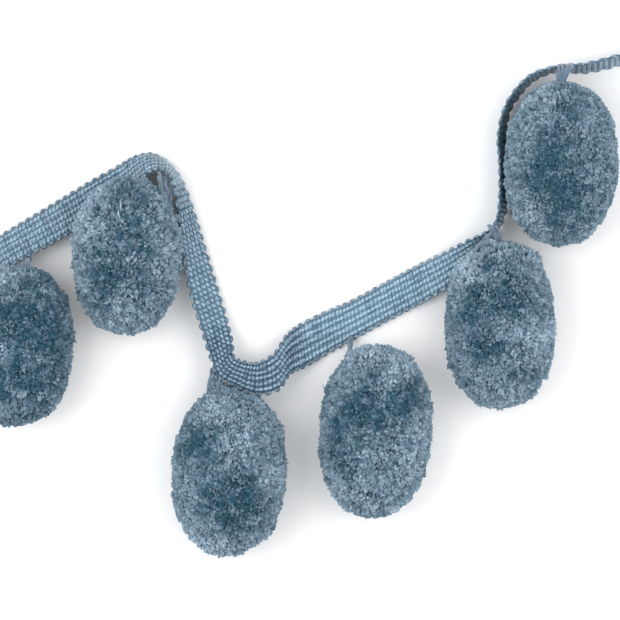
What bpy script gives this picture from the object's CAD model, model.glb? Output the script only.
"""The looks of a pompom fringe trim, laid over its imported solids.

Sizes are millimetres and become metres where a mesh is made. The parts follow in the
order in which the trim is made: the header braid, its ties and the pompoms.
"""

from collections import namedtuple
from math import cos, pi, radians, sin

import bpy
import numpy as np
from mathutils import Matrix, Vector
from mathutils.kdtree import KDTree


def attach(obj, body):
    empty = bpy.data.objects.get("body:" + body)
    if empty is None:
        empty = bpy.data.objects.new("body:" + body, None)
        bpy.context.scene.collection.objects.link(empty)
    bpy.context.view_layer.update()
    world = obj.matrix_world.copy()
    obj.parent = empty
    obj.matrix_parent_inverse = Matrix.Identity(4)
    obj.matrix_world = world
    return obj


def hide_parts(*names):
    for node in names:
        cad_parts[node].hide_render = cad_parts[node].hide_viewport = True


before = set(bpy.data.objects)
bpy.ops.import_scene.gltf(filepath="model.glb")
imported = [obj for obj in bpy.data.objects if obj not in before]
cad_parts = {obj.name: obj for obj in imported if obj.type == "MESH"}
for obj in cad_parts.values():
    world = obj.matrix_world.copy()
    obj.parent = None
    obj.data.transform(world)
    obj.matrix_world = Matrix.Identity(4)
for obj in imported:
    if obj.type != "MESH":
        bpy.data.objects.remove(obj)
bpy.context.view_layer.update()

# Weft of the header braid
#
# One unbroken gimp cord, viscose floss wound round a cotton core. It crosses from edge to
# edge and turns back in a round loop at each side, two passes to a loop, and the warp
# pinches it into five rows of shining beads.

MM = 0.001

# Where the braid lies, one row for each fold or run of it. loops counts the weft loops
# from the left end. free is the plain edge, join is the edge that carries the pompoms,
# and sag bows the middle of the width.
BraidRow = namedtuple("BraidRow", "loops free_x free_y free_z join_x join_y join_z sag")
BRAID_ROWS = [
    BraidRow(0.0, -111.0, 10.8, 1.2, -106.1, 1.5, 8.4, 0.3),      # left cut end
    BraidRow(8.5, -92.2, 22.1, 1.2, -87.4, 12.0, 8.4, 0.3),       # at pompom 1
    BraidRow(14.5, -78.1, 30.6, 1.2, -73.3, 19.7, 6.6, 0.2),      # sloping run
    BraidRow(20.5, -64.0, 39.1, 1.2, -61.7, 27.9, 3.6, 0.0),      # under pompom 2
    BraidRow(23.0, -57.7, 42.5, 1.2, -55.9, 31.9, 4.6, 0.0),
    BraidRow(26.0, -52.1, 45.4, 1.2, -49.7, 37.1, 9.4, 0.4),      # rising into the bend
    BraidRow(28.0, -47.5, 46.1, 1.3, -46.2, 39.9, 12.6, 0.5),
    BraidRow(29.5, -44.2, 44.9, 1.4, -43.4, 40.2, 13.8, 0.5),     # top of the first bend
    BraidRow(31.0, -40.7, 42.0, 1.4, -41.3, 38.7, 14.0, 0.4),
    BraidRow(33.0, -37.0, 36.6, 1.5, -39.8, 35.0, 13.6, 0.3),
    BraidRow(36.0, -33.0, 26.2, 1.8, -38.2, 23.2, 12.4, 0.2),     # steep run down
    BraidRow(39.0, -29.8, 16.5, 2.0, -37.0, 13.1, 11.2, 0.0),
    BraidRow(43.0, -25.7, 3.4, 2.4, -34.1, -1.0, 9.8, 0.0),
    BraidRow(46.0, -22.6, -6.4, 4.2, -30.9, -10.7, 10.6, -0.5),
    BraidRow(48.5, -20.8, -13.3, 7.6, -28.3, -18.7, 12.2, -1.2),  # valley before the turn
    BraidRow(50.0, -20.6, -17.4, 10.6, -26.4, -24.1, 13.6, -0.5),
    BraidRow(52.0, -17.0, -19.4, 12.2, -20.6, -28.0, 14.4, 0.3),  # turn over pompom 3
    BraidRow(54.5, -12.7, -19.5, 12.2, -12.9, -30.6, 14.4, 0.3),
    BraidRow(56.5, -8.3, -16.9, 10.8, -7.0, -29.2, 12.6, 0.2),
    BraidRow(59.0, -4.5, -11.4, 6.6, -3.3, -24.3, 8.6, 0.0),      # slope back down
    BraidRow(62.0, 0.0, -7.7, 2.6, 2.0, -21.7, 4.0, 0.0),
    BraidRow(64.5, 6.4, -4.4, 1.3, 7.8, -18.3, 1.3, 0.0),
    BraidRow(68.0, 14.3, -1.1, 1.3, 16.2, -13.6, 1.3, 0.0),       # flat run at pompom 4
    BraidRow(73.0, 26.0, 5.0, 1.3, 28.4, -7.0, 1.3, 0.0),
    BraidRow(75.5, 31.2, 7.8, 1.3, 34.0, -4.1, 1.3, 0.0),
    BraidRow(78.0, 36.3, 10.5, 1.3, 39.6, -1.2, 2.9, 0.0),
    BraidRow(82.0, 45.3, 15.0, 3.6, 49.3, 4.9, 5.0, 0.0),         # lifting off, then twisting
    BraidRow(85.0, 52.7, 18.8, 9.0, 56.2, 11.1, 2.8, 0.0),
    BraidRow(87.5, 58.9, 21.5, 12.6, 60.8, 17.9, 0.5, 0.0),       # at pompom 5
    BraidRow(89.5, 61.8, 25.0, 13.3, 64.2, 24.4, 0.4, 0.0),
    BraidRow(91.0, 62.4, 29.2, 13.3, 65.7, 29.4, 0.4, 0.0),       # on edge, going up
    BraidRow(94.5, 62.6, 41.6, 13.3, 65.4, 42.0, 0.4, 0.0),
    BraidRow(98.0, 62.2, 52.0, 13.3, 65.5, 52.2, 0.4, 0.0),
    BraidRow(100.0, 63.8, 59.2, 13.3, 66.4, 59.0, 0.4, 0.0),
    BraidRow(102.0, 67.4, 65.5, 13.3, 69.8, 64.6, 0.4, 0.0),      # second bend
    BraidRow(104.5, 73.4, 70.8, 13.3, 74.9, 69.7, 0.4, 0.0),
    BraidRow(106.5, 80.3, 73.0, 13.3, 81.0, 72.0, 0.4, 0.0),      # at pompom 6
    BraidRow(109.5, 89.7, 73.9, 13.3, 90.6, 71.8, 0.4, 0.0),
    BraidRow(112.0, 98.5, 76.2, 13.3, 99.8, 73.7, 0.4, 0.0),
    BraidRow(115.5, 109.8, 79.8, 13.3, 110.9, 77.9, 0.4, 0.0),    # right cut end
]
BRAID_LOOPS = BRAID_ROWS[-1].loops
EDGE_BAND = 1.25            # the loops outside the outermost rows of beads
BEAD_ROWS = 5
BEAD_STOPS = (0.0, 0.16, 0.42, 0.58, 0.84)  # rings of the cord's skin along one bead
LOOP_STEPS = 7
CORD_SIDES = 8
BEAD_FILL = 0.60            # half a bead's width, as a share of the room for a pass
BEAD_WIDEST = 0.90
BEAD_TALL = 0.76            # half its height in the middle
PINCH_WIDE = 0.62           # share of both left where a line of warp pinches the cord
PINCH_TALL = 0.25
BEAD_SLANT = 0.065          # how far the warp's twist swings each bead about, in loops
LOOP_ROUND = 0.58           # half the cord's thickness in the loops
LOOP_PROUD = 0.10           # how far the loops stand out past the solid's edge
LOOP_NARROW = 0.20          # how much the two legs of a loop draw together
PASS_SLANT = 0.03           # how far a pass leans along the braid, in loops
PASS_WOBBLE = 0.018
BEAD_GLINT = 0.42           # how much paler the silky line along the top of a bead is
GLINT_SLANT = 2.2           # how far that line runs askew, in radians to a bead's length
PINCH_DEEPER = 0.30         # how much deeper the cord looks where it is pinched
LOOP_DEEPER = 0.24          # and where it turns back at the edges
UNEVEN_DYE = 0.12
# How the braid looks along its length. Its floss is dull where it turns over pompom 3 and
# bright where it lies flat at pompom 4. deeper is for its furrows, which open in the bends.
Shade = namedtuple("Shade", "loops paler deeper")
SHADES = [
    Shade(0.0, -0.13, 0.0), Shade(26.0, -0.10, 0.0), Shade(29.5, -0.05, 0.5),
    Shade(36.0, 0.03, 0.4), Shade(40.0, 0.0, 0.0), Shade(45.0, 0.0, 0.0),
    Shade(49.0, -0.20, 0.7), Shade(58.5, -0.20, 0.7), Shade(63.0, 0.0, 0.0),
    Shade(68.0, 0.13, 0.0), Shade(84.0, 0.13, 0.0), Shade(90.0, 0.0, 0.0),
    Shade(BRAID_LOOPS, 0.0, 0.0),
]


def through_rows(knots, values, at):
    """Points on a smooth curve through all the rows, for many places at once."""
    slopes = np.gradient(values, knots, axis=0)
    i = np.clip(np.searchsorted(knots, at, side="right") - 1, 0, len(knots) - 2)
    span = (knots[i + 1] - knots[i])[:, None]
    t = (at - knots[i])[:, None] / span
    start = (1 + 2 * t) * (1 - t) ** 2 * values[i] + t * (1 - t) ** 2 * span * slopes[i]
    end = t * t * (3 - 2 * t) * values[i + 1] + t * t * (t - 1) * span * slopes[i + 1]
    return start + end


def unit(vectors):
    """The same directions, each with a length of 1."""
    return vectors / np.linalg.norm(vectors, axis=-1, keepdims=True)


def braid_frame(at):
    """Free edge, crosswise direction, face normal, width and sag at each loop number."""
    table = np.array(BRAID_ROWS)
    knots, values = table[:, 0], table[:, 1:]
    here = through_rows(knots, values, np.clip(at, 0, BRAID_LOOPS))
    before = through_rows(knots, values, np.clip(at - 0.5, 0, BRAID_LOOPS))
    after = through_rows(knots, values, np.clip(at + 0.5, 0, BRAID_LOOPS))
    free, join = here[:, 0:3], here[:, 3:6]
    travel = (after - before)[:, 0:3] + (after - before)[:, 3:6]
    normal = unit(np.cross(join - free, travel))
    width = np.linalg.norm(join - free, axis=1)
    return free, unit(join - free), normal, width, here[:, 6]


def on_braid(at, share, height, edge=0.0):
    """Points at a share of the width between two lines edge mm inside the tips, and the
    face normals there."""
    free, across, normal, width, sag = braid_frame(at)
    along = edge + share * (width - 2 * edge)
    bow = 4 * sag * (along / width) * (1 - along / width)
    points = free + across * along[:, None] + normal * (height + bow)[:, None]
    return points, normal


def shade_at(at):
    """How much paler the braid is at each loop number, and how much deeper its furrows."""
    table = np.array(SHADES)
    return np.interp(at, table[:, 0], table[:, 1]), np.interp(at, table[:, 0], table[:, 2])


def tube(path, up, wide, tall, sides):
    """The skin of a cord along a path: rings of points and four-sided faces."""
    ahead = unit(np.gradient(path, axis=0))
    aside = unit(np.cross(ahead, up))
    lift = np.cross(aside, ahead)
    turn = 2 * pi * np.arange(sides) / sides
    ring = aside[:, None] * (np.cos(turn)[None] * wide[:, None])[:, :, None]
    ring = ring + lift[:, None] * (np.sin(turn)[None] * tall[:, None])[:, :, None]
    first = np.arange(len(path) - 1)[:, None] * sides + np.arange(sides)
    second = np.arange(len(path) - 1)[:, None] * sides + (np.arange(sides) + 1) % sides
    faces = np.stack([first, second, second + sides, first + sides], axis=-1)
    points = (path[:, None] + ring).reshape(-1, 3)
    last = len(points) - sides
    caps = [list(range(sides))[::-1], list(range(last, last + sides))]
    return points, faces.reshape(-1, 4).tolist() + caps


def smooth_mesh(name, points, faces, material):
    """One object from points in millimetres and faces, smooth and facing outwards."""
    mesh = bpy.data.meshes.new(name)
    mesh.from_pydata((np.asarray(points) * MM).tolist(), [], faces)
    mesh.materials.append(material)
    mesh.shade_smooth()
    mesh.update()
    made = bpy.data.objects.new(name, mesh)
    bpy.context.scene.collection.objects.link(made)
    return made


def set_values(made, name, values):
    """Keeps one number for each point of a piece, for its material to read."""
    layer = made.data.attributes.new(name, "FLOAT", "POINT")
    layer.data.foreach_set("value", np.asarray(values, dtype=np.float32))


def colour(code):
    """An sRGB hex colour as the linear values that a shader takes."""
    parts = [int(code[k:k + 2], 16) / 255 for k in (1, 3, 5)]
    linear = [p / 12.92 if p <= 0.04045 else ((p + 0.055) / 1.055) ** 2.4 for p in parts]
    return linear + [1.0]


def new_material(name):
    """An empty node material."""
    material = bpy.data.materials.new(name)
    material.use_nodes = True
    material.node_tree.nodes.clear()
    return material


def add_node(material, kind, inputs=None, **settings):
    """One node: its settings, and for each input a plain value or another node's output."""
    tree = material.node_tree
    made = tree.nodes.new(kind)
    for name, value in settings.items():
        setattr(made, name, value)
    for name, value in (inputs or {}).items():
        if isinstance(value, bpy.types.NodeSocket):
            tree.links.new(value, made.inputs[name])
        else:
            made.inputs[name].default_value = value
    return made


def weft_route():
    """The cord's path: loop number, share of the width, reach past it, and how far the
    cord swells, 0 where it is pinched, 1 in a bead and 2 in a loop."""
    dice = np.random.default_rng(11)
    beads = np.arange(BEAD_ROWS)[:, None] + np.array(BEAD_STOPS)
    body = np.append(beads.ravel(), BEAD_ROWS) / BEAD_ROWS
    swell = np.abs(np.sin(pi * BEAD_ROWS * body)) ** 0.5
    turn = np.linspace(0.0, pi, LOOP_STEPS + 2)[1:-1]
    rows = []
    for k in range(int(2 * BRAID_LOOPS)):
        heading = 1 if k % 2 == 0 else -1
        line = body if heading > 0 else body[::-1]
        centre = (k + 0.5) / 2 + dice.uniform(-PASS_WOBBLE, PASS_WOBBLE)
        lean = centre + PASS_SLANT * (2 * body - 1)
        lean = lean + BEAD_SLANT * np.sin(2 * pi * BEAD_ROWS * line)
        rows.append(np.stack([lean, line, 0 * body, swell], axis=1))
        if k < int(2 * BRAID_LOOPS) - 1:
            swing = 0.25 * np.cos(turn) * (1 - LOOP_NARROW * np.sin(turn))
            out = heading * (EDGE_BAND + LOOP_PROUD - LOOP_ROUND) * np.sin(turn)
            side = np.full(len(turn), line[-1])
            rows.append(np.stack([(k + 1) / 2 - swing, side, out, 0 * turn + 2], axis=1))
    return np.concatenate(rows).T


at, share, reach, swell = weft_route()
flat = np.zeros(len(at))
path, normals = on_braid(at, share, flat, EDGE_BAND)
room = on_braid(at + 0.25, share, flat, EDGE_BAND)[0]
room = np.linalg.norm(room - on_braid(at - 0.25, share, flat, EDGE_BAND)[0], axis=1)
path = path + braid_frame(at)[1] * reach[:, None]
in_bead = np.minimum(swell, 1.0)
wide = np.minimum(BEAD_FILL * room, BEAD_WIDEST)
wide = wide * (PINCH_WIDE + (1 - PINCH_WIDE) * in_bead)
tall = BEAD_TALL * (PINCH_TALL + (1 - PINCH_TALL) * in_bead)
wide = np.where(swell > 1, LOOP_ROUND, wide)
tall = np.where(swell > 1, LOOP_ROUND, tall)
points, faces = tube(path, normals, wide, tall, CORD_SIDES)

# Wound viscose floss: a bright silky line along the top of each bead and deep blue
# between the beads, with the turns of the floss just showing.
FLOSS_TURN = 0.70           # real turns are 0.15 mm apart, too fine to show, so drawn coarser
FLOSS_ENDS = 3              # threads wound side by side, which sets the slant of the turns
gimp_floss = new_material("gimp_viscose_floss_wound")
tone = add_node(gimp_floss, "ShaderNodeAttribute", attribute_name="tone").outputs["Fac"]
place = add_node(gimp_floss, "ShaderNodeTexCoord").outputs["Object"]
cloud = add_node(gimp_floss, "ShaderNodeTexNoise", {
    "Vector": place, "Scale": 1 / (3.0 * MM), "Detail": 2.0}).outputs["Fac"]
wound = add_node(gimp_floss, "ShaderNodeUVMap", uv_map="cord").outputs["UV"]
turns = add_node(gimp_floss, "ShaderNodeTexWave", {
    "Vector": wound, "Scale": 0.314 / FLOSS_TURN, "Distortion": 0.6},
    bands_direction="DIAGONAL")
streaks = add_node(gimp_floss, "ShaderNodeMath", {
    0: turns.outputs["Fac"], 1: 0.44, 2: -0.24}, operation="MULTIPLY_ADD")
streaked = add_node(gimp_floss, "ShaderNodeMath", {0: tone, 1: streaks.outputs[0]}, operation="ADD")
mixed = add_node(gimp_floss, "ShaderNodeMath", {0: streaked.outputs[0], 1: cloud}, operation="ADD")
body = add_node(gimp_floss, "ShaderNodeMixRGB", {
    "Fac": mixed.outputs[0], "Color1": colour("#2E5067"), "Color2": colour("#8DADC1")})
ribs = add_node(gimp_floss, "ShaderNodeBump", {
    "Height": turns.outputs["Fac"], "Strength": 0.35, "Distance": 0.08 * MM})
floss = add_node(gimp_floss, "ShaderNodeBsdfPrincipled", {
    "Base Color": body.outputs["Color"], "Normal": ribs.outputs["Normal"],
    "Roughness": 0.35, "IOR": 1.5, "Coat Weight": 0.9, "Coat Roughness": 0.16, "Coat IOR": 1.55})
add_node(gimp_floss, "ShaderNodeOutputMaterial", {"Surface": floss.outputs["BSDF"]})

weft = smooth_mesh("header_weft", points, faces, gimp_floss)
run = np.concatenate([[0.0], np.cumsum(np.linalg.norm(np.diff(path, axis=0), axis=1))])
shade = np.random.default_rng(12).uniform(-UNEVEN_DYE, UNEVEN_DYE, len(at) // 8 + 1)
shade = np.interp(np.arange(len(at)), np.arange(len(shade)) * 8, shade)
paler, deeper = shade_at(at)
shade = shade + paler - LOOP_DEEPER * (swell > 1) - (PINCH_DEEPER + deeper) * (1 - in_bead)
heading = np.sign(np.gradient(share) + 1e-9)
askew = GLINT_SLANT * heading * (share * BEAD_ROWS % 1 - 0.5)
glint = 2 * pi * np.arange(CORD_SIDES) / CORD_SIDES + askew[:, None]
glint = (np.abs(np.sin(glint)) ** 6 - 0.12) * ((swell > 0.85) & (swell <= 1))[:, None]
set_values(weft, "tone", (shade[:, None] + BEAD_GLINT * glint).ravel())
winding = weft.data.uv_layers.new(name="cord")
sides = np.arange(CORD_SIDES)
corner_run = np.stack([run[:-1], run[:-1], run[1:], run[1:]], axis=-1)
corner_run = np.repeat(corner_run[:, None], CORD_SIDES, axis=1)
corner_turn = np.stack([sides, sides + 1, sides + 1, sides], axis=-1)
corner_turn = corner_turn * FLOSS_TURN * FLOSS_ENDS / CORD_SIDES
corner_turn = np.repeat(corner_turn[None], len(run) - 1, axis=0)
corners = np.stack([corner_run, corner_turn], axis=-1).reshape(-1, 2)
corners = np.concatenate([corners, np.zeros((2 * CORD_SIDES, 2))])
winding.data.foreach_set("uv", corners.astype(np.float32).ravel())
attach(weft, "root")
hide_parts("tape")

# Warp of the header braid
#
# Six lines of fine mercerised cotton, two threads to a line. One thread of a pair goes
# over a pass of the weft where the other goes under, and they change places between
# passes, which draws the dark furrows between the rows of beads.

WARP_ROUND = 0.14
WARP_ASIDE = 0.12           # each thread of a pair lies this far to one side of the line
WARP_STEPS = 6              # rings to a loop
WARP_SIDES = 4

# Mercerised cotton: smooth, with a faint soft shine, and the deepest blue of the braid,
# which draws the lines between its rows of beads.
warp_cotton = new_material("warp_cotton_mercerised")
place = add_node(warp_cotton, "ShaderNodeTexCoord").outputs["Object"]
cloud = add_node(warp_cotton, "ShaderNodeTexNoise", {
    "Vector": place, "Scale": 1 / (2.0 * MM), "Detail": 2.0}).outputs["Fac"]
tone = add_node(warp_cotton, "ShaderNodeAttribute", attribute_name="tone").outputs["Fac"]
mixed = add_node(warp_cotton, "ShaderNodeMath", {0: tone, 1: cloud}, operation="ADD")
body = add_node(warp_cotton, "ShaderNodeMixRGB", {
    "Fac": mixed.outputs[0], "Color1": colour("#1E3E50"), "Color2": colour("#5C8197")})
cotton = add_node(warp_cotton, "ShaderNodeBsdfPrincipled", {
    "Base Color": body.outputs["Color"], "Roughness": 0.6, "IOR": 1.5,
    "Sheen Weight": 0.15, "Sheen Roughness": 0.5})
add_node(warp_cotton, "ShaderNodeOutputMaterial", {"Surface": cotton.outputs["BSDF"]})

points, faces = [], []
at = np.linspace(0.0, BRAID_LOOPS, int(BRAID_LOOPS * WARP_STEPS) + 1)
for line in range(BEAD_ROWS + 1):
    for over in (1, -1):
        height = over * (PINCH_TALL * BEAD_TALL + WARP_ROUND) * np.cos(2 * pi * (at - 0.25))
        share = np.full(len(at), line / BEAD_ROWS)
        path, normals = on_braid(at, share, height, EDGE_BAND)
        path = path + braid_frame(at)[1] * WARP_ASIDE * over
        thick = np.full(len(at), WARP_ROUND)
        skin, sides = tube(path, normals, thick, thick, WARP_SIDES)
        start = sum(len(part) for part in points)
        points.append(skin)
        faces += [[start + k for k in face] for face in sides]
warp = smooth_mesh("header_warp", np.concatenate(points), faces, warp_cotton)
paler, deeper = shade_at(at)
set_values(warp, "tone", np.tile(np.repeat(paler - deeper, WARP_SIDES), 2 * (BEAD_ROWS + 1)))
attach(warp, "root")
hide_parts("tape")

# Core threads of the header braid
#
# Between its two faces a braid is packed with straight core threads, which the weft wraps.
# They are one thin dark sheet here, seen only in the gaps between passes of the weft.

CORE_THICK = 0.36
CORE_EDGE = 1.1             # from the tips of the loops
CORE_COLUMNS = 6

# Packed cotton: matt, with no shine, so that the gaps in the weft look soft and closed.
core_cotton = new_material("core_cotton_packed")
place = add_node(core_cotton, "ShaderNodeTexCoord").outputs["Object"]
strands = add_node(core_cotton, "ShaderNodeTexNoise", {
    "Vector": place, "Scale": 1 / (1.0 * MM), "Detail": 2.0}).outputs["Fac"]
tone = add_node(core_cotton, "ShaderNodeAttribute", attribute_name="tone").outputs["Fac"]
mixed = add_node(core_cotton, "ShaderNodeMath", {0: tone, 1: strands}, operation="ADD")
body = add_node(core_cotton, "ShaderNodeMixRGB", {
    "Fac": mixed.outputs[0], "Color1": colour("#2B4D61"), "Color2": colour("#6A8FA4")})
cotton = add_node(core_cotton, "ShaderNodeBsdfPrincipled", {
    "Base Color": body.outputs["Color"], "Roughness": 0.85, "IOR": 1.5})
add_node(core_cotton, "ShaderNodeOutputMaterial", {"Surface": cotton.outputs["BSDF"]})

at = np.linspace(0.1, BRAID_LOOPS - 0.1, int(2 * BRAID_LOOPS) + 1)
columns = np.linspace(0.0, 1.0, CORE_COLUMNS)
layers = []
for height in (CORE_THICK / 2, -CORE_THICK / 2):
    for share in columns if height > 0 else columns[::-1]:
        spot, normals = on_braid(at, np.full(len(at), share), np.full(len(at), height), CORE_EDGE)
        layers.append(spot)
rings = np.stack(layers, axis=1)
sides = rings.shape[1]
faces = []
for k in range(len(at) - 1):
    for j in range(sides):
        i = (j + 1) % sides
        faces.append([k * sides + i, k * sides + j, (k + 1) * sides + j, (k + 1) * sides + i])
faces.append(list(range(sides)))
faces.append(list(range((len(at) - 1) * sides, len(at) * sides))[::-1])
core = smooth_mesh("header_core", rings.reshape(-1, 3), faces, core_cotton)
paler, deeper = shade_at(at)
set_values(core, "tone", np.repeat(paler - deeper, sides))
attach(core, "root")
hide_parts("tape")

# Ties
#
# Each pompom is bound round its middle with matt two-ply yarn, and the ends of the yarn
# run up into the lower edge of the braid. Ties 5 and 6 lie over its upper edge.

# One row for each strand: its tie, half its thickness, how many turns its plies make, and
# points along it. The last two of tie 5 are loops that lie on its pompom's shoulder.
Strand = namedtuple("Strand", "tie round turns points")
STRANDS = [
    Strand(1, 0.95, 0.8, [(-85.3, 12.6, 6.5), (-85.7, 10.9, 10.4), (-86.2, 8.4, 13.6)]),
    Strand(2, 0.85, 1.1, [(-44.0, 39.9, 11.8), (-43.9, 38.2, 13.8), (-43.6, 35.8, 14.6),
                          (-43.4, 32.6, 14.6)]),
    Strand(2, 0.85, 1.3, [(-42.9, 38.8, 11.6), (-42.4, 36.6, 13.0), (-41.9, 33.6, 13.8),
                          (-41.9, 30.0, 13.8)]),
    Strand(2, 0.75, 1.4, [(-41.9, 37.4, 11.2), (-41.1, 34.2, 12.2), (-40.7, 31.0, 12.4),
                          (-40.5, 27.6, 12.0)]),
    Strand(3, 0.65, 0.7, [(-27.6, -22.0, 10.2), (-28.2, -25.4, 11.4), (-28.9, -30.2, 12.8)]),
    Strand(3, 0.65, 0.7, [(-26.6, -22.4, 10.0), (-27.2, -25.6, 11.2), (-27.9, -30.4, 12.8)]),
    Strand(3, 0.65, 0.7, [(-25.6, -22.8, 10.0), (-26.2, -25.8, 11.2), (-26.9, -30.6, 12.8)]),
    Strand(4, 0.95, 1.4, [(16.0, -11.7, 3.2), (15.9, -14.4, 3.6), (15.4, -17.2, 7.2),
                          (15.1, -20.4, 11.4)]),
    Strand(5, 0.60, 0.6, [(60.9, 22.3, 13.2), (60.6, 21.0, 14.9), (58.6, 18.9, 14.5),
                          (56.6, 17.2, 11.8)]),
    Strand(5, 0.56, 0.6, [(60.0, 21.9, 13.0), (59.7, 20.4, 14.6), (57.6, 18.4, 13.9),
                          (55.6, 16.4, 10.8)]),
    Strand(5, 0.60, 0.5, [(61.3, 22.8, 13.4), (62.1, 21.5, 15.1), (62.5, 19.6, 15.4),
                          (62.8, 16.2, 14.6)]),
    Strand(5, 0.56, 0.5, [(60.5, 22.3, 13.2), (61.0, 21.2, 15.1), (61.4, 19.2, 15.5),
                          (61.7, 15.8, 14.8)]),
    Strand(5, 0.95, 0.6, [(59.0, 19.8, 12.2), (59.0, 18.4, 14.9), (59.4, 16.4, 15.8),
                          (59.8, 13.4, 15.4)]),
    Strand(5, 0.80, 1.0, [(59.2, 22.8, 14.9), (60.0, 22.2, 16.0), (61.0, 21.4, 15.6)]),
    Strand(5, 0.80, 0.7, [(60.4, 17.6, 17.6), (58.2, 17.6, 18.2), (55.8, 16.2, 17.8),
                          (54.6, 14.2, 18.2), (55.0, 12.0, 20.6)]),
    Strand(5, 0.80, 0.7, [(60.6, 15.2, 21.4), (58.6, 15.0, 22.6), (56.6, 13.2, 23.2),
                          (56.2, 11.2, 23.6), (57.0, 9.0, 23.8)]),
    Strand(6, 0.78, 0.5, [(81.2, 73.0, 12.8), (81.1, 72.3, 14.7), (80.9, 70.4, 15.2),
                          (81.0, 66.0, 14.6)]),
    Strand(6, 0.72, 0.5, [(82.4, 73.1, 12.8), (82.3, 72.4, 14.8), (82.0, 70.6, 15.4),
                          (81.6, 66.2, 14.8)]),
    Strand(6, 0.80, 0.4, [(84.1, 73.3, 12.8), (84.0, 72.5, 14.8), (83.2, 70.8, 15.5),
                          (82.0, 67.4, 14.9)]),
    Strand(6, 0.74, 0.4, [(85.2, 73.4, 12.8), (85.0, 72.6, 14.7), (84.1, 71.0, 15.2),
                          (82.6, 67.6, 14.8)]),
]
TIE_STEPS = 26
COVERED_STEPS = 4           # a strand's last steps, which the pompom's tufts may cover
PLIES = 2
PLY_SIDES = 8
PLY_ROUND = 0.62            # a ply's thickness, as a share of its strand's

# Two-ply yarn of matt acrylic: softer and greyer than the braid, with a light bloom of
# fibre ends and no shine.
tie_yarn = new_material("tie_yarn_matt_twisted")
place = add_node(tie_yarn, "ShaderNodeTexCoord").outputs["Object"]
cloud = add_node(tie_yarn, "ShaderNodeTexNoise", {
    "Vector": place, "Scale": 1 / (0.8 * MM), "Detail": 3.0}).outputs["Fac"]
body = add_node(tie_yarn, "ShaderNodeMixRGB", {
    "Fac": cloud, "Color1": colour("#374F61"), "Color2": colour("#73899F")})
fibres = add_node(tie_yarn, "ShaderNodeTexNoise", {
    "Vector": place, "Scale": 1 / (0.3 * MM), "Detail": 2.0}).outputs["Fac"]
fuzz = add_node(tie_yarn, "ShaderNodeBump", {
    "Height": fibres, "Strength": 0.5, "Distance": 0.1 * MM})
yarn = add_node(tie_yarn, "ShaderNodeBsdfPrincipled", {
    "Base Color": body.outputs["Color"], "Normal": fuzz.outputs["Normal"],
    "Roughness": 0.85, "IOR": 1.45, "Sheen Weight": 0.4, "Sheen Roughness": 0.6})
add_node(tie_yarn, "ShaderNodeOutputMaterial", {"Surface": yarn.outputs["BSDF"]})

tie_paths = []
for number in range(1, 7):
    points, faces = [], []
    for strand in (row for row in STRANDS if row.tie == number):
        route = np.array(strand.points)
        stops = np.linspace(0.0, len(route) - 1.0, TIE_STEPS)
        middle = through_rows(np.arange(len(route), dtype=float), route, stops)
        tie_paths.append(middle[:-COVERED_STEPS])
        ahead = unit(np.gradient(middle, axis=0))
        aside = unit(np.cross(ahead, np.array([0.3, 1.0, 0.3])))
        lift = np.cross(aside, ahead)
        thick = np.full(TIE_STEPS, strand.round * PLY_ROUND)
        for ply in range(PLIES):
            swing = 2 * pi * (strand.turns * stops / stops[-1] + ply / PLIES)
            out = strand.round * (1 - PLY_ROUND)
            path = middle + aside * (np.cos(swing) * out)[:, None]
            path = path + lift * (np.sin(swing) * out)[:, None]
            skin, sides = tube(path, lift, thick, thick, PLY_SIDES)
            start = sum(len(part) for part in points)
            points.append(skin)
            faces += [[start + k for k in face] for face in sides]
    strands = smooth_mesh(f"tie_strands_{number}", np.concatenate(points), faces, tie_yarn)
    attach(strands, "root")
    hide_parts(f"tie_{number}")

# Pompoms
#
# Soft acrylic yarn wound in a thick hank, bound at its middle and clipped to an egg. The
# clipped ends stand close together as ragged tufts, some clumped, some brushed open or
# loose. Each pompom settles on the surface, and its tufts give way to the braid.

# gather is how far a pompom's tufts lean together into clumps, which opens its pile.
Pompom = namedtuple("Pompom", "x y half_long half_wide turn lift paler gather")
POMPOMS = [
    Pompom(-88.4, -14.8, 25.0, 17.2, 4.0, 0.0, -0.19, 0.22),
    Pompom(-54.1, 13.5, 24.5, 16.7, 1.5, 5.0, 0.02, 0.31),
    Pompom(-22.1, -54.2, 26.0, 17.7, 3.0, 0.0, -0.01, 0.24),
    Pompom(23.7, -41.5, 26.9, 17.3, 4.0, 0.0, 0.01, 0.24),
    Pompom(62.6, -8.2, 25.9, 17.0, 0.0, 0.0, -0.01, 0.22),
    Pompom(81.8, 42.4, 25.5, 17.5, 2.0, 0.0, -0.04, 0.16),
]
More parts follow.
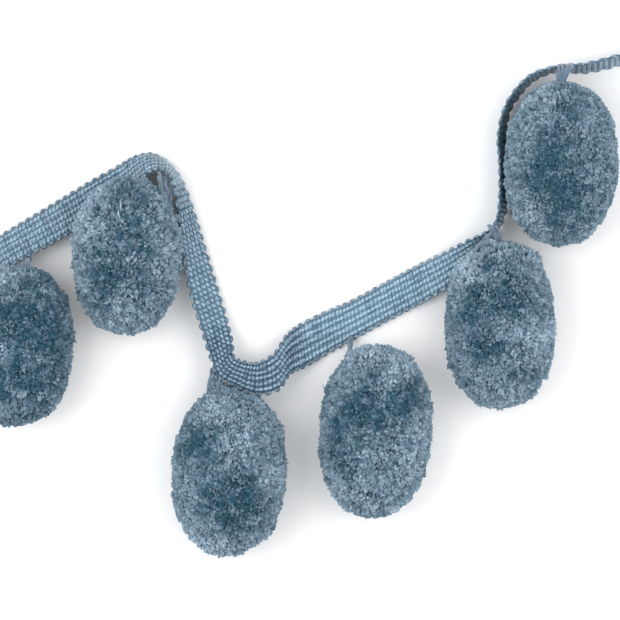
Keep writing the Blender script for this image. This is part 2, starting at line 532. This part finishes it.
# Places where the pile is brushed open and looks paler, or stands upright and looks
# deeper. longer is how far its ends stand out there.
Patch = namedtuple("Patch", "pompom x y round paler longer")
PATCHES = [
    Patch(1, -92.0, 4.0, 6.0, 0.30, 0.2), Patch(1, -91.4, -17.1, 2.5, 0.30, 0.2),
    Patch(1, -80.0, -6.0, 9.0, -0.15, 0.0),
    Patch(2, -53.0, 32.0, 6.0, -0.25, 0.0), Patch(2, -61.3, 6.0, 6.0, -0.25, 0.0),
    Patch(2, -68.0, 25.0, 7.0, 0.30, 0.6), Patch(2, -54.0, 18.0, 7.0, -0.20, 0.0),
    Patch(2, -55.0, -7.0, 7.0, 0.15, 0.0), Patch(2, -42.0, 15.0, 6.0, 0.12, 0.0),
    Patch(3, -33.5, -46.0, 8.0, -0.32, 0.0), Patch(3, -17.0, -45.0, 8.0, 0.25, 0.2),
    Patch(3, -18.5, -61.5, 9.0, -0.30, 0.0), Patch(3, -35.5, -59.0, 5.0, 0.15, 0.2),
    Patch(3, -26.6, -75.2, 7.0, 0.20, 0.0), Patch(3, -8.0, -56.0, 5.0, 0.22, 0.0),
    Patch(3, -28.0, -34.0, 5.0, 0.20, 0.0), Patch(3, -14.0, -78.0, 6.0, 0.15, 0.0),
    Patch(4, 20.6, -19.0, 5.0, 0.35, 0.8), Patch(4, 27.5, -24.5, 3.5, 0.35, 0.5),
    Patch(4, 18.4, -35.0, 9.0, -0.30, 0.0), Patch(4, 31.5, -31.0, 6.0, -0.28, 0.0),
    Patch(4, 10.0, -48.8, 5.0, -0.25, 0.0), Patch(4, 28.0, -54.0, 10.0, 0.22, 0.2),
    Patch(4, 33.0, -20.0, 5.0, 0.25, 0.0), Patch(4, 14.5, -60.0, 6.0, 0.18, 0.0),
    Patch(5, 50.0, -7.0, 6.0, -0.28, 0.0), Patch(5, 64.0, 4.0, 8.0, -0.25, 0.0),
    Patch(5, 51.4, 9.0, 5.0, 0.40, 1.0), Patch(5, 72.4, -12.0, 8.0, 0.20, 0.1),
    Patch(5, 56.5, -16.0, 6.0, -0.22, 0.0), Patch(5, 62.0, 16.0, 4.0, 0.20, 0.3),
    Patch(5, 72.5, 14.0, 3.5, 0.10, 1.6),
    Patch(6, 75.0, 62.0, 6.0, 0.20, 0.2), Patch(6, 75.0, 40.0, 9.0, -0.18, 0.0),
    Patch(6, 71.8, 26.9, 2.5, 0.45, 0.5), Patch(6, 82.0, 29.0, 7.0, -0.18, 0.0),
]
# Fluff that was combed out of a pompom's shoulder and lies over the braid or below its
# edge, and the two small pale curls on pompom 2: how many wisps, how long and thick, the
# line where they start, and the way they run.
Fluff = namedtuple("Fluff", "pompom wisps long round x y z to_x to_y to_z way_x way_y")
FLUFF = [
    Fluff(1, 240, 3.0, 0.16, -93.0, 6.6, 13.6, -85.6, 8.6, 13.6, -0.1, 1.0),
    Fluff(2, 380, 3.6, 0.17, -69.8, 17.0, 12.8, -62.5, 32.0, 14.5, -0.8, 1.0),
    Fluff(2, 5, 3.2, 0.34, -56.0, 25.0, 29.3, -54.0, 27.5, 29.0, -0.3, 1.0),
    Fluff(2, 6, 3.0, 0.30, -60.0, 22.8, 28.2, -63.0, 24.4, 27.0, -1.0, 0.2),
    Fluff(3, 420, 3.0, 0.24, -27.2, -28.4, 11.6, -21.0, -30.2, 12.0, 0.0, 1.0),
    Fluff(3, 520, 3.2, 0.24, -27.8, -31.0, 12.4, -14.5, -33.6, 12.8, 0.0, 1.0),
    Fluff(5, 700, 4.2, 0.12, 50.6, 2.8, 14.5, 57.0, 12.8, 15.0, -0.15, 1.0),
    Fluff(5, 200, 2.6, 0.12, 55.8, 12.5, 16.0, 60.5, 15.5, 16.0, 0.0, 1.0),
]
# Tones run from 0, the deepest blue, to 1, the palest.
TONE = 0.30
TONE_DRIFT = 0.10           # how much it drifts over a pompom
CLUMP_TONE = 0.11           # how much it differs from clump to clump
YARN_TONE = 0.05            # and from tuft to tuft, and from lock to lock
DEEPEST = 0.06
PATCH_REACH = 4.0           # how far below a pompom's middle its patches reach
SIDES_PALER = 0.19          # the pile of the sides is seen along its length, which is paler
PILE = 1.6                  # from the core to the tips of the yarn
SETTLE = 1.2                # how far the core's underside is pressed flat
SQUARENESS = 2.2            # 2 is an ellipsoid, more is boxier
TUFTS_EACH = 2500
CLUMPS_EACH = 950           # tufts that cling together, a few to a clump
TUFT_ROOT = 0.9             # how deep a tuft starts below the core's surface
TUFT_ROUND = 0.50
TUFT_STRAY = 0.30           # how far it strays from its even place
CLIP_DRIFT = 0.25           # how unevenly the egg was clipped, in long waves
CLIP_UNEVEN = 0.12          # and from tuft to tuft
CLUMP_UNEVEN = 1.2          # and from clump to clump, times gather
LEAN_ALIKE = 0.22           # how much near tufts lean the same way
LEAN_APART = 0.12
LOCKS_EACH = 4              # real tufts have some 30 fibres, too fine to show, so fewer and thicker
LOCK_ROUND = 0.56
LOCK_VARIES = 0.25
LOCK_UNEVEN = 0.16
LOCK_BOW = 0.15
LOCK_FAN = 0.11             # how far the locks of a tuft spread
# Where the rings of a lock's skin are along it, how big they are, and how ragged.
LOCK_SHAPE = ((0.0, 1.0), (0.9, 0.9), 0.35)
WISP_SHAPE = ((0.0, 0.5, 1.0), (1.0, 0.8, 0.1), 0.1)
FLUFF_SHAPE = ((0.0, 0.5, 1.0), (0.9, 1.0, 0.2), 0.1)
FLUFF_STRAY = 0.45
FLUFF_TANGLE = 0.38
FLUFF_DROOP = 0.6
FLUFF_TONE = 0.6
# Wisps of the yarn that splay over their neighbours, and thin loose fibres.
Loose = namedtuple("Loose", "count round shortest longest splay paler")
LOOSE = [
    Loose(300, 0.16, 0.8, 1.9, 1.4, 0.22),
    Loose(220, 0.05, 0.8, 1.6, 1.0, 0.30),
]
CLEAR_OF_BRAID = 1.25       # from the braid's middle sheet to any tuft
CLEAR_OF_TIE = 1.2
WISP_CLEAR_OF_TIE = 0.8
FLOOR_CLEAR = 0.05
FLOOR_UNEVEN = 0.25
FELT_DEEP = 0.50            # how far the matted yarn between tufts lies below their tips
FELT_OPENS = 1.6            # and how much further where they gather
FELT_ROUGH = 0.50
FELT_PRESSED = 0.4          # one step of pressing it in, where it would touch braid or tie
FELT_AROUND, FELT_ALONG = 156, 98


def drift(points, size, seed):
    """Slow random waves over the points, from about -1 to 1, with a length of size mm."""
    dice = np.random.default_rng(seed)
    ways = unit(dice.normal(size=(7, 3))) / dice.uniform(0.7, 1.5, (7, 1))
    starts = dice.uniform(0, 2 * pi, 7)
    return np.sin(points @ ways.T * (2 * pi / size) + starts).mean(axis=1) * 1.7


def egg_places(way, axes):
    """Where each way from the middle meets the clipped egg, and the outward directions."""
    reach = (np.abs(way) ** SQUARENESS).sum(axis=1, keepdims=True) ** (-1 / SQUARENESS)
    places = way * reach * axes
    return places, unit(np.sign(way) * np.abs(places / axes) ** (SQUARENESS - 1) / axes)


def even_ways(axes, count):
    """Directions that spread places evenly over the egg, in a spiral about its length."""
    tilt = np.linspace(-pi / 2, pi / 2, 4001)
    rim = np.stack([np.cos(tilt), np.sin(tilt), 0 * tilt], axis=1)
    rim = egg_places(rim, axes)[0]
    step = np.linalg.norm(np.diff(rim, axis=0), axis=1)
    area = np.append(0.0, np.cumsum((rim[1:, 0] + rim[:-1, 0]) * step))
    order = np.arange(count) + 0.5
    tilt = np.interp(order / count * area[-1], area, tilt)
    turn = order * pi * (3 - 5 ** 0.5)
    ring = np.cos(tilt)
    return np.stack([ring * np.cos(turn), np.sin(tilt), ring * np.sin(turn)], axis=1)


def squared(ways):
    """For each direction, two more that stand square to it and to each other."""
    helper = np.where(np.abs(ways[:, 2:3]) < 0.8, [[0.0, 0.0, 1.0]], [[1.0, 0.0, 0.0]])
    first = unit(np.cross(ways, helper))
    return first, np.cross(ways, first)


def sprigs(base, way, bow, long, thick, rises, sizes, rough, dice):
    """A ragged three-sided lock of yarn on every base: its points, and all their faces."""
    count = len(base)
    first, second = squared(way)
    spin = dice.uniform(0, 2 * pi, count)
    rings = []
    for rise, size in zip(rises, sizes):
        middle = base + way * (long * rise)[:, None] + bow * rise ** 2
        for k in range(3):
            turn = spin + 2 * pi * k / 3
            out = thick * size * dice.uniform(1 - rough, 1 + rough, count)
            ragged = (rise > 0) * rough * dice.uniform(-1.2, 1.2, count) * thick
            rings.append(middle + first * (np.cos(turn) * out)[:, None]
                         + second * (np.sin(turn) * out)[:, None] + way * ragged[:, None])
    points = np.stack(rings, axis=1)
    each = len(rings)
    k = np.arange(3)
    j = (k + 1) % 3
    low = (np.arange(len(rises) - 1) * 3)[:, None]
    walls = np.stack([low + k, low + j, low + 3 + j, low + 3 + k], axis=-1).reshape(-1, 4)
    starts = (np.arange(count) * each)[:, None, None]
    faces = (starts + walls).reshape(-1, 4).tolist()
    faces += (starts[:, 0] + k + each - 3).tolist() + (starts[:, 0] + k[::-1]).tolist()
    return points, faces


def point_tree(points):
    """A lookup of the nearest among many points."""
    tree = KDTree(len(points))
    for k, point in enumerate(points):
        tree.insert(Vector(point), k)
    tree.balance()
    return tree


def nearest(tree, points):
    """How far each point lies from the nearest one of a lookup."""
    return np.array([tree.find(Vector(point))[2] for point in points])


# The braid's middle sheet and the ties, as points that the tufts keep clear of.
at = np.linspace(0.0, BRAID_LOOPS, 340)
sheet_rows = [on_braid(at, np.full(len(at), share), 0 * at)[0] for share in np.linspace(0, 1, 17)]
braid_tree = point_tree(np.concatenate(sheet_rows))
tie_tree = point_tree(np.concatenate(tie_paths))

# Clipped acrylic yarn: quite matt, pale fluffy tips over deep blue gaps between tufts,
# and whole patches that are paler or deeper where the pile leans another way.
cut_yarn = new_material("acrylic_yarn_clipped")
tone = add_node(cut_yarn, "ShaderNodeAttribute", attribute_name="tone").outputs["Fac"]
tip = add_node(cut_yarn, "ShaderNodeAttribute", attribute_name="tip").outputs["Fac"]
place = add_node(cut_yarn, "ShaderNodeTexCoord").outputs["Object"]
speck = add_node(cut_yarn, "ShaderNodeTexNoise", {
    "Vector": place, "Scale": 1 / (0.9 * MM), "Detail": 3.0}).outputs["Fac"]
speck = add_node(cut_yarn, "ShaderNodeMapRange", {
    "Value": speck, "From Min": 0.3, "From Max": 0.7, "To Min": -0.10, "To Max": 0.10})
lit = add_node(cut_yarn, "ShaderNodeMath", {0: tone, 1: speck.outputs["Result"]}, operation="ADD")
tips = add_node(cut_yarn, "ShaderNodeMixRGB", {
    "Fac": lit.outputs[0], "Color1": colour("#22485B"), "Color2": colour("#A9BFD0")})
body = add_node(cut_yarn, "ShaderNodeMixRGB", {
    "Fac": tip, "Color1": colour("#1C4052"), "Color2": tips.outputs["Color"]})
fibres = add_node(cut_yarn, "ShaderNodeTexNoise", {
    "Vector": place, "Scale": 1 / (0.6 * MM), "Detail": 3.0}).outputs["Fac"]
fuzz = add_node(cut_yarn, "ShaderNodeBump", {
    "Height": fibres, "Strength": 0.45, "Distance": 0.3 * MM})
pile_shader = add_node(cut_yarn, "ShaderNodeBsdfPrincipled", {
    "Base Color": body.outputs["Color"], "Normal": fuzz.outputs["Normal"],
    "Roughness": 0.95, "IOR": 1.45, "Specular IOR Level": 0.15,
    "Sheen Weight": 0.35, "Sheen Roughness": 0.5, "Sheen Tint": colour("#A9C6D6")})
add_node(cut_yarn, "ShaderNodeOutputMaterial", {"Surface": pile_shader.outputs["BSDF"]})

for number, pompom in enumerate(POMPOMS, 1):
    dice = np.random.default_rng(100 + number)
    lay = Matrix.Rotation(radians(-pompom.turn), 3, "Z")
    lay = np.array(lay @ Matrix.Rotation(radians(pompom.lift), 3, "X")).T
    centre = np.array([pompom.x, pompom.y, pompom.half_wide - PILE - SETTLE])
    axes = np.array([pompom.half_wide, pompom.half_long, pompom.half_wide])

    # Where each tuft starts, which way it stands, and how pale and long it is
    places, outward = egg_places(even_ways(axes, TUFTS_EACH), axes)
    places, outward = places @ lay + centre, outward @ lay
    jitter = dice.normal(0.0, TUFT_STRAY, (TUFTS_EACH, 3))
    places += jitter - outward * (jitter * outward).sum(axis=1, keepdims=True)
    pale = TONE + pompom.paler + TONE_DRIFT * drift(places, 15.0, 400 + number)
    pale += SIDES_PALER * (1 - outward[:, 2] ** 2)
    longer = CLIP_DRIFT * drift(places, 13.0, 300 + number)
    longer += dice.normal(0.0, CLIP_UNEVEN, TUFTS_EACH)
    for patch in (row for row in PATCHES if row.pompom == number):
        off = np.hypot(places[:, 0] - patch.x, places[:, 1] - patch.y) / patch.round
        here = np.exp(-off ** 2) * (places[:, 2] > centre[2] - PATCH_REACH)
        pale += patch.paler * here
        longer += patch.longer * here
    clump = np.stack([drift(places, 7.0, 200 + 10 * number + k) for k in range(3)], axis=1)
    lean = clump * LEAN_ALIKE + dice.normal(0.0, LEAN_APART, (TUFTS_EACH, 3))
    heads = places[dice.choice(TUFTS_EACH, CLUMPS_EACH, replace=False)]
    heads_tree = point_tree(heads)
    of_clump = np.array([heads_tree.find(Vector(place))[1] for place in places])
    lean += pompom.gather * (heads[of_clump] - places)
    pale += dice.normal(0.0, CLUMP_TONE, CLUMPS_EACH)[of_clump]
    longer += CLUMP_UNEVEN * pompom.gather * dice.normal(0.0, 1.0, CLUMPS_EACH)[of_clump]
    pale = np.maximum(pale, DEEPEST)
    lean -= outward * (lean * outward).sum(axis=1, keepdims=True)
    way = unit(outward + lean)
    height = PILE + TUFT_ROOT + longer
    roots = places - outward * (PILE + TUFT_ROOT)

    # Tufts that would touch the braid or a tie are pressed shorter, or are left out
    for shorter in (0.8, 0.75, 0.7):
        ends = roots + way * height[:, None]
        touching = nearest(braid_tree, ends) < CLEAR_OF_BRAID + 0.3
        touching |= nearest(tie_tree, ends) < CLEAR_OF_TIE
        height = np.where(touching, height * shorter, height)
    ends = roots + way * height[:, None]
    kept = (nearest(braid_tree, ends) > CLEAR_OF_BRAID) & (nearest(tie_tree, ends) > CLEAR_OF_TIE)
    roots, way, height, ends, outward, pale, longer = (
        part[kept] for part in (roots, way, height, ends, outward, pale, longer))
    count = len(roots)

    # Every tuft is a small bundle of locks that fan out a little
    of_tuft = np.repeat(np.arange(count), LOCKS_EACH)
    total = len(of_tuft)
    fan = dice.normal(0.0, 1.0, (total, 3))
    fan -= way[of_tuft] * (fan * way[of_tuft]).sum(axis=1, keepdims=True)
    base = roots[of_tuft] + fan * TUFT_ROUND * 0.5
    lock_way = unit(way[of_tuft] + fan * LOCK_FAN)
    long = height[of_tuft] + dice.normal(0.0, LOCK_UNEVEN, total)
    bow = fan[::-1] * LOCK_BOW
    thick = LOCK_ROUND * np.exp(dice.normal(0.0, LOCK_VARIES, total))
    locks, faces = sprigs(base, lock_way, bow, long, thick, *LOCK_SHAPE, dice)
    points = [locks.reshape(-1, 3)]
    pale_here = (pale + dice.normal(0.0, YARN_TONE, count))[of_tuft]
    pale_here = pale_here + dice.normal(0.0, YARN_TONE, total)
    tones = [np.repeat(pale_here, 6)]
    tips = [np.tile(np.repeat([0.0, 1.0], 3), total)]

    # Loose yarn starts from the ends of some of the tufts
    for loose in LOOSE:
        some = dice.choice(count, loose.count, replace=False)
        splayed = outward[some] + clump[kept][some] * 0.5
        splayed = unit(splayed + dice.normal(0.0, loose.splay, (loose.count, 3)))
        inwards = np.minimum((splayed * outward[some]).sum(axis=1, keepdims=True), 0.0)
        splayed = unit(splayed - outward[some] * inwards)
        long = dice.uniform(loose.shortest, loose.longest, loose.count)
        long = long + np.maximum(longer[some], 0.0)
        curl = np.cross(splayed, unit(dice.normal(size=(loose.count, 3))))
        bow = (curl - outward[some] * 0.4) * 0.5
        base = ends[some] - way[some] * 0.4
        far = base + splayed * long[:, None] + bow
        clear = nearest(braid_tree, far) > CLEAR_OF_BRAID
        clear &= nearest(tie_tree, far) > WISP_CLEAR_OF_TIE
        parts = [part[clear] for part in (base, splayed, bow, long)]
        size = loose.round * dice.uniform(0.6, 1.4, clear.sum())
        wisps, sides = sprigs(*parts, size, *WISP_SHAPE, dice)
        start = sum(len(part) for part in points)
        faces += [[start + k for k in face] for face in sides]
        points.append(wisps.reshape(-1, 3))
        tone_here = pale[some][clear] + loose.paler + dice.normal(0.0, 0.1, clear.sum())
        tones.append(np.repeat(tone_here, wisps.shape[1]))
        tips.append(np.full(len(points[-1]), 1.0))

    # Combed fluff and loose curls
    for row in (row for row in FLUFF if row.pompom == number):
        along = dice.uniform(0.0, 1.0, (row.wisps, 1))
        line = np.array([row.to_x - row.x, row.to_y - row.y, row.to_z - row.z])
        base = np.array([row.x, row.y, row.z]) + along * line
        base += dice.normal(0.0, FLUFF_STRAY, (row.wisps, 3))
        tangle = dice.normal(0.0, FLUFF_TANGLE, (row.wisps, 3))
        combed = unit(np.array([row.way_x, row.way_y, 0.1]) + tangle)
        long = row.long * dice.uniform(0.5, 1.1, row.wisps)
        bow = dice.normal(0.0, 0.5, (row.wisps, 3)) - np.array([0.0, 0.0, FLUFF_DROOP])
        size = row.round * dice.uniform(0.6, 1.3, row.wisps)
        wisps, sides = sprigs(base, combed, bow, long, size, *FLUFF_SHAPE, dice)
        start = sum(len(part) for part in points)
        faces += [[start + k for k in face] for face in sides]
        points.append(wisps.reshape(-1, 3))
        tones.append(np.repeat(dice.normal(FLUFF_TONE, 0.12, row.wisps), wisps.shape[1]))
        tips.append(np.full(len(points[-1]), 1.0))

    # The matted yarn between the tufts, a ragged closed skin with the tone of the tufts
    # round it, and deeper where it lies lower
    tilt = np.linspace(-pi / 2, pi / 2, FELT_ALONG + 1)[1:-1, None]
    turn = 2 * pi * np.arange(FELT_AROUND) / FELT_AROUND
    ways = np.broadcast_arrays(
        np.cos(tilt) * np.cos(turn), np.sin(tilt), np.cos(tilt) * np.sin(turn))
    ways = np.stack(ways, axis=-1).reshape(-1, 3)
    skin, out = egg_places(ways, axes)
    skin, out = skin @ lay + centre, out @ lay
    deep = FELT_DEEP + FELT_OPENS * pompom.gather
    deep = deep + dice.uniform(-FELT_ROUGH, FELT_ROUGH, len(skin))
    for step in range(3):
        felt = skin - out * deep[:, None]
        touching = nearest(braid_tree, felt) < CLEAR_OF_BRAID
        touching |= nearest(tie_tree, felt) < CLEAR_OF_TIE
        deep += FELT_PRESSED * touching
    felt = skin - out * deep[:, None]
    start = sum(len(part) for part in points)
    u = np.arange(FELT_AROUND)
    v = (np.arange(FELT_ALONG - 2) * FELT_AROUND)[:, None] + start
    w = (u + 1) % FELT_AROUND
    walls = np.stack([v + u, v + FELT_AROUND + u, v + FELT_AROUND + w, v + w], axis=-1)
    faces += walls.reshape(-1, 4).tolist()
    faces.append((start + u).tolist())
    faces.append((start + (FELT_ALONG - 2) * FELT_AROUND + u[::-1]).tolist())
    points.append(felt)
    roots_tree = point_tree(roots)
    near = np.array([roots_tree.find(Vector(place))[1] for place in felt])
    tones.append(pale[near] + dice.normal(0.0, 0.10, len(felt)))
    tips.append(np.clip(1.15 - 0.7 * deep, 0.1, 0.9))

    # Yarn under the pompom is pressed flat by its weight
    points = np.concatenate(points)
    floor = FLOOR_CLEAR + FLOOR_UNEVEN * dice.uniform(0.0, 1.0, len(points))
    points[:, 2] = np.maximum(points[:, 2], floor)
    pile = smooth_mesh(f"pompom_pile_{number}", points, faces, cut_yarn)
    set_values(pile, "tone", np.concatenate(tones))
    set_values(pile, "tip", np.concatenate(tips))
    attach(pile, "root")
    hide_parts(f"pompom_{number}")

# Table top, light and camera
#
# The trim is laid out on matt white card between two big soft lights, one at its left and
# one at its right, with plain room light all round, and is seen from straight above.

CAMERA_HEIGHT = 1093.5
CAMERA_X = 3.2
CAMERA_Y = -3.5
LENS = 200.0
SENSOR_WIDE = 36.0
TABLE_HALF = 2500.0
ROOM_LIGHT = 1.12
# One row for each light: where it hangs, how wide it is, and its power in watts.
Light = namedtuple("Light", "name x y z wide watts")
LIGHTS = [
    Light("left_soft_box", -420.0, 40.0, 700.0, 480.0, 2.6),
    Light("right_soft_box", 420.0, 40.0, 700.0, 480.0, 1.8),
]

# Matt white card: even and without any shine, so that shadows on it stay soft and plain.
card = new_material("white_card_matt")
place = add_node(card, "ShaderNodeTexCoord").outputs["Object"]
grain = add_node(card, "ShaderNodeTexNoise", {
    "Vector": place, "Scale": 1 / (4.0 * MM), "Detail": 2.0}).outputs["Fac"]
white = add_node(card, "ShaderNodeMixRGB", {
    "Fac": grain, "Color1": colour("#EEEEEF"), "Color2": colour("#F1F1F1")})
sheet_shader = add_node(card, "ShaderNodeBsdfPrincipled", {
    "Base Color": white.outputs["Color"], "Roughness": 0.9, "Specular IOR Level": 0.1})
add_node(card, "ShaderNodeOutputMaterial", {"Surface": sheet_shader.outputs["BSDF"]})
corners = [(TABLE_HALF * x, TABLE_HALF * y, 0.0) for x, y in ((-1, -1), (1, -1), (1, 1), (-1, 1))]
table_top = smooth_mesh("table_top", corners, [[0, 1, 2, 3]], card)

world = bpy.data.worlds.new("room_light")
world.use_nodes = True
sky = world.node_tree.nodes["Background"]
sky.inputs["Color"].default_value = colour("#FFFFFF")
sky.inputs["Strength"].default_value = ROOM_LIGHT
bpy.context.scene.world = world

for light in LIGHTS:
    lamp = bpy.data.lights.new(light.name, "AREA")
    lamp.shape = "SQUARE"
    lamp.size = light.wide * MM
    lamp.energy = light.watts
    soft_box = bpy.data.objects.new(light.name, lamp)
    spot = Vector((light.x, light.y, light.z))
    soft_box.location = spot * MM
    soft_box.rotation_mode = "QUATERNION"
    soft_box.rotation_quaternion = (-spot).to_track_quat("-Z", "Y")
    bpy.context.scene.collection.objects.link(soft_box)

lens = bpy.data.cameras.new("camera")
lens.lens = LENS
lens.sensor_width = SENSOR_WIDE
lens.clip_start = 0.05
lens.clip_end = 20.0
camera = bpy.data.objects.new("camera", lens)
camera.location = Vector((CAMERA_X, CAMERA_Y, CAMERA_HEIGHT)) * MM
bpy.context.scene.collection.objects.link(camera)
bpy.context.scene.camera = camera

bpy.context.scene.view_settings.view_transform = "Standard"
bpy.context.scene.view_settings.look = "None"
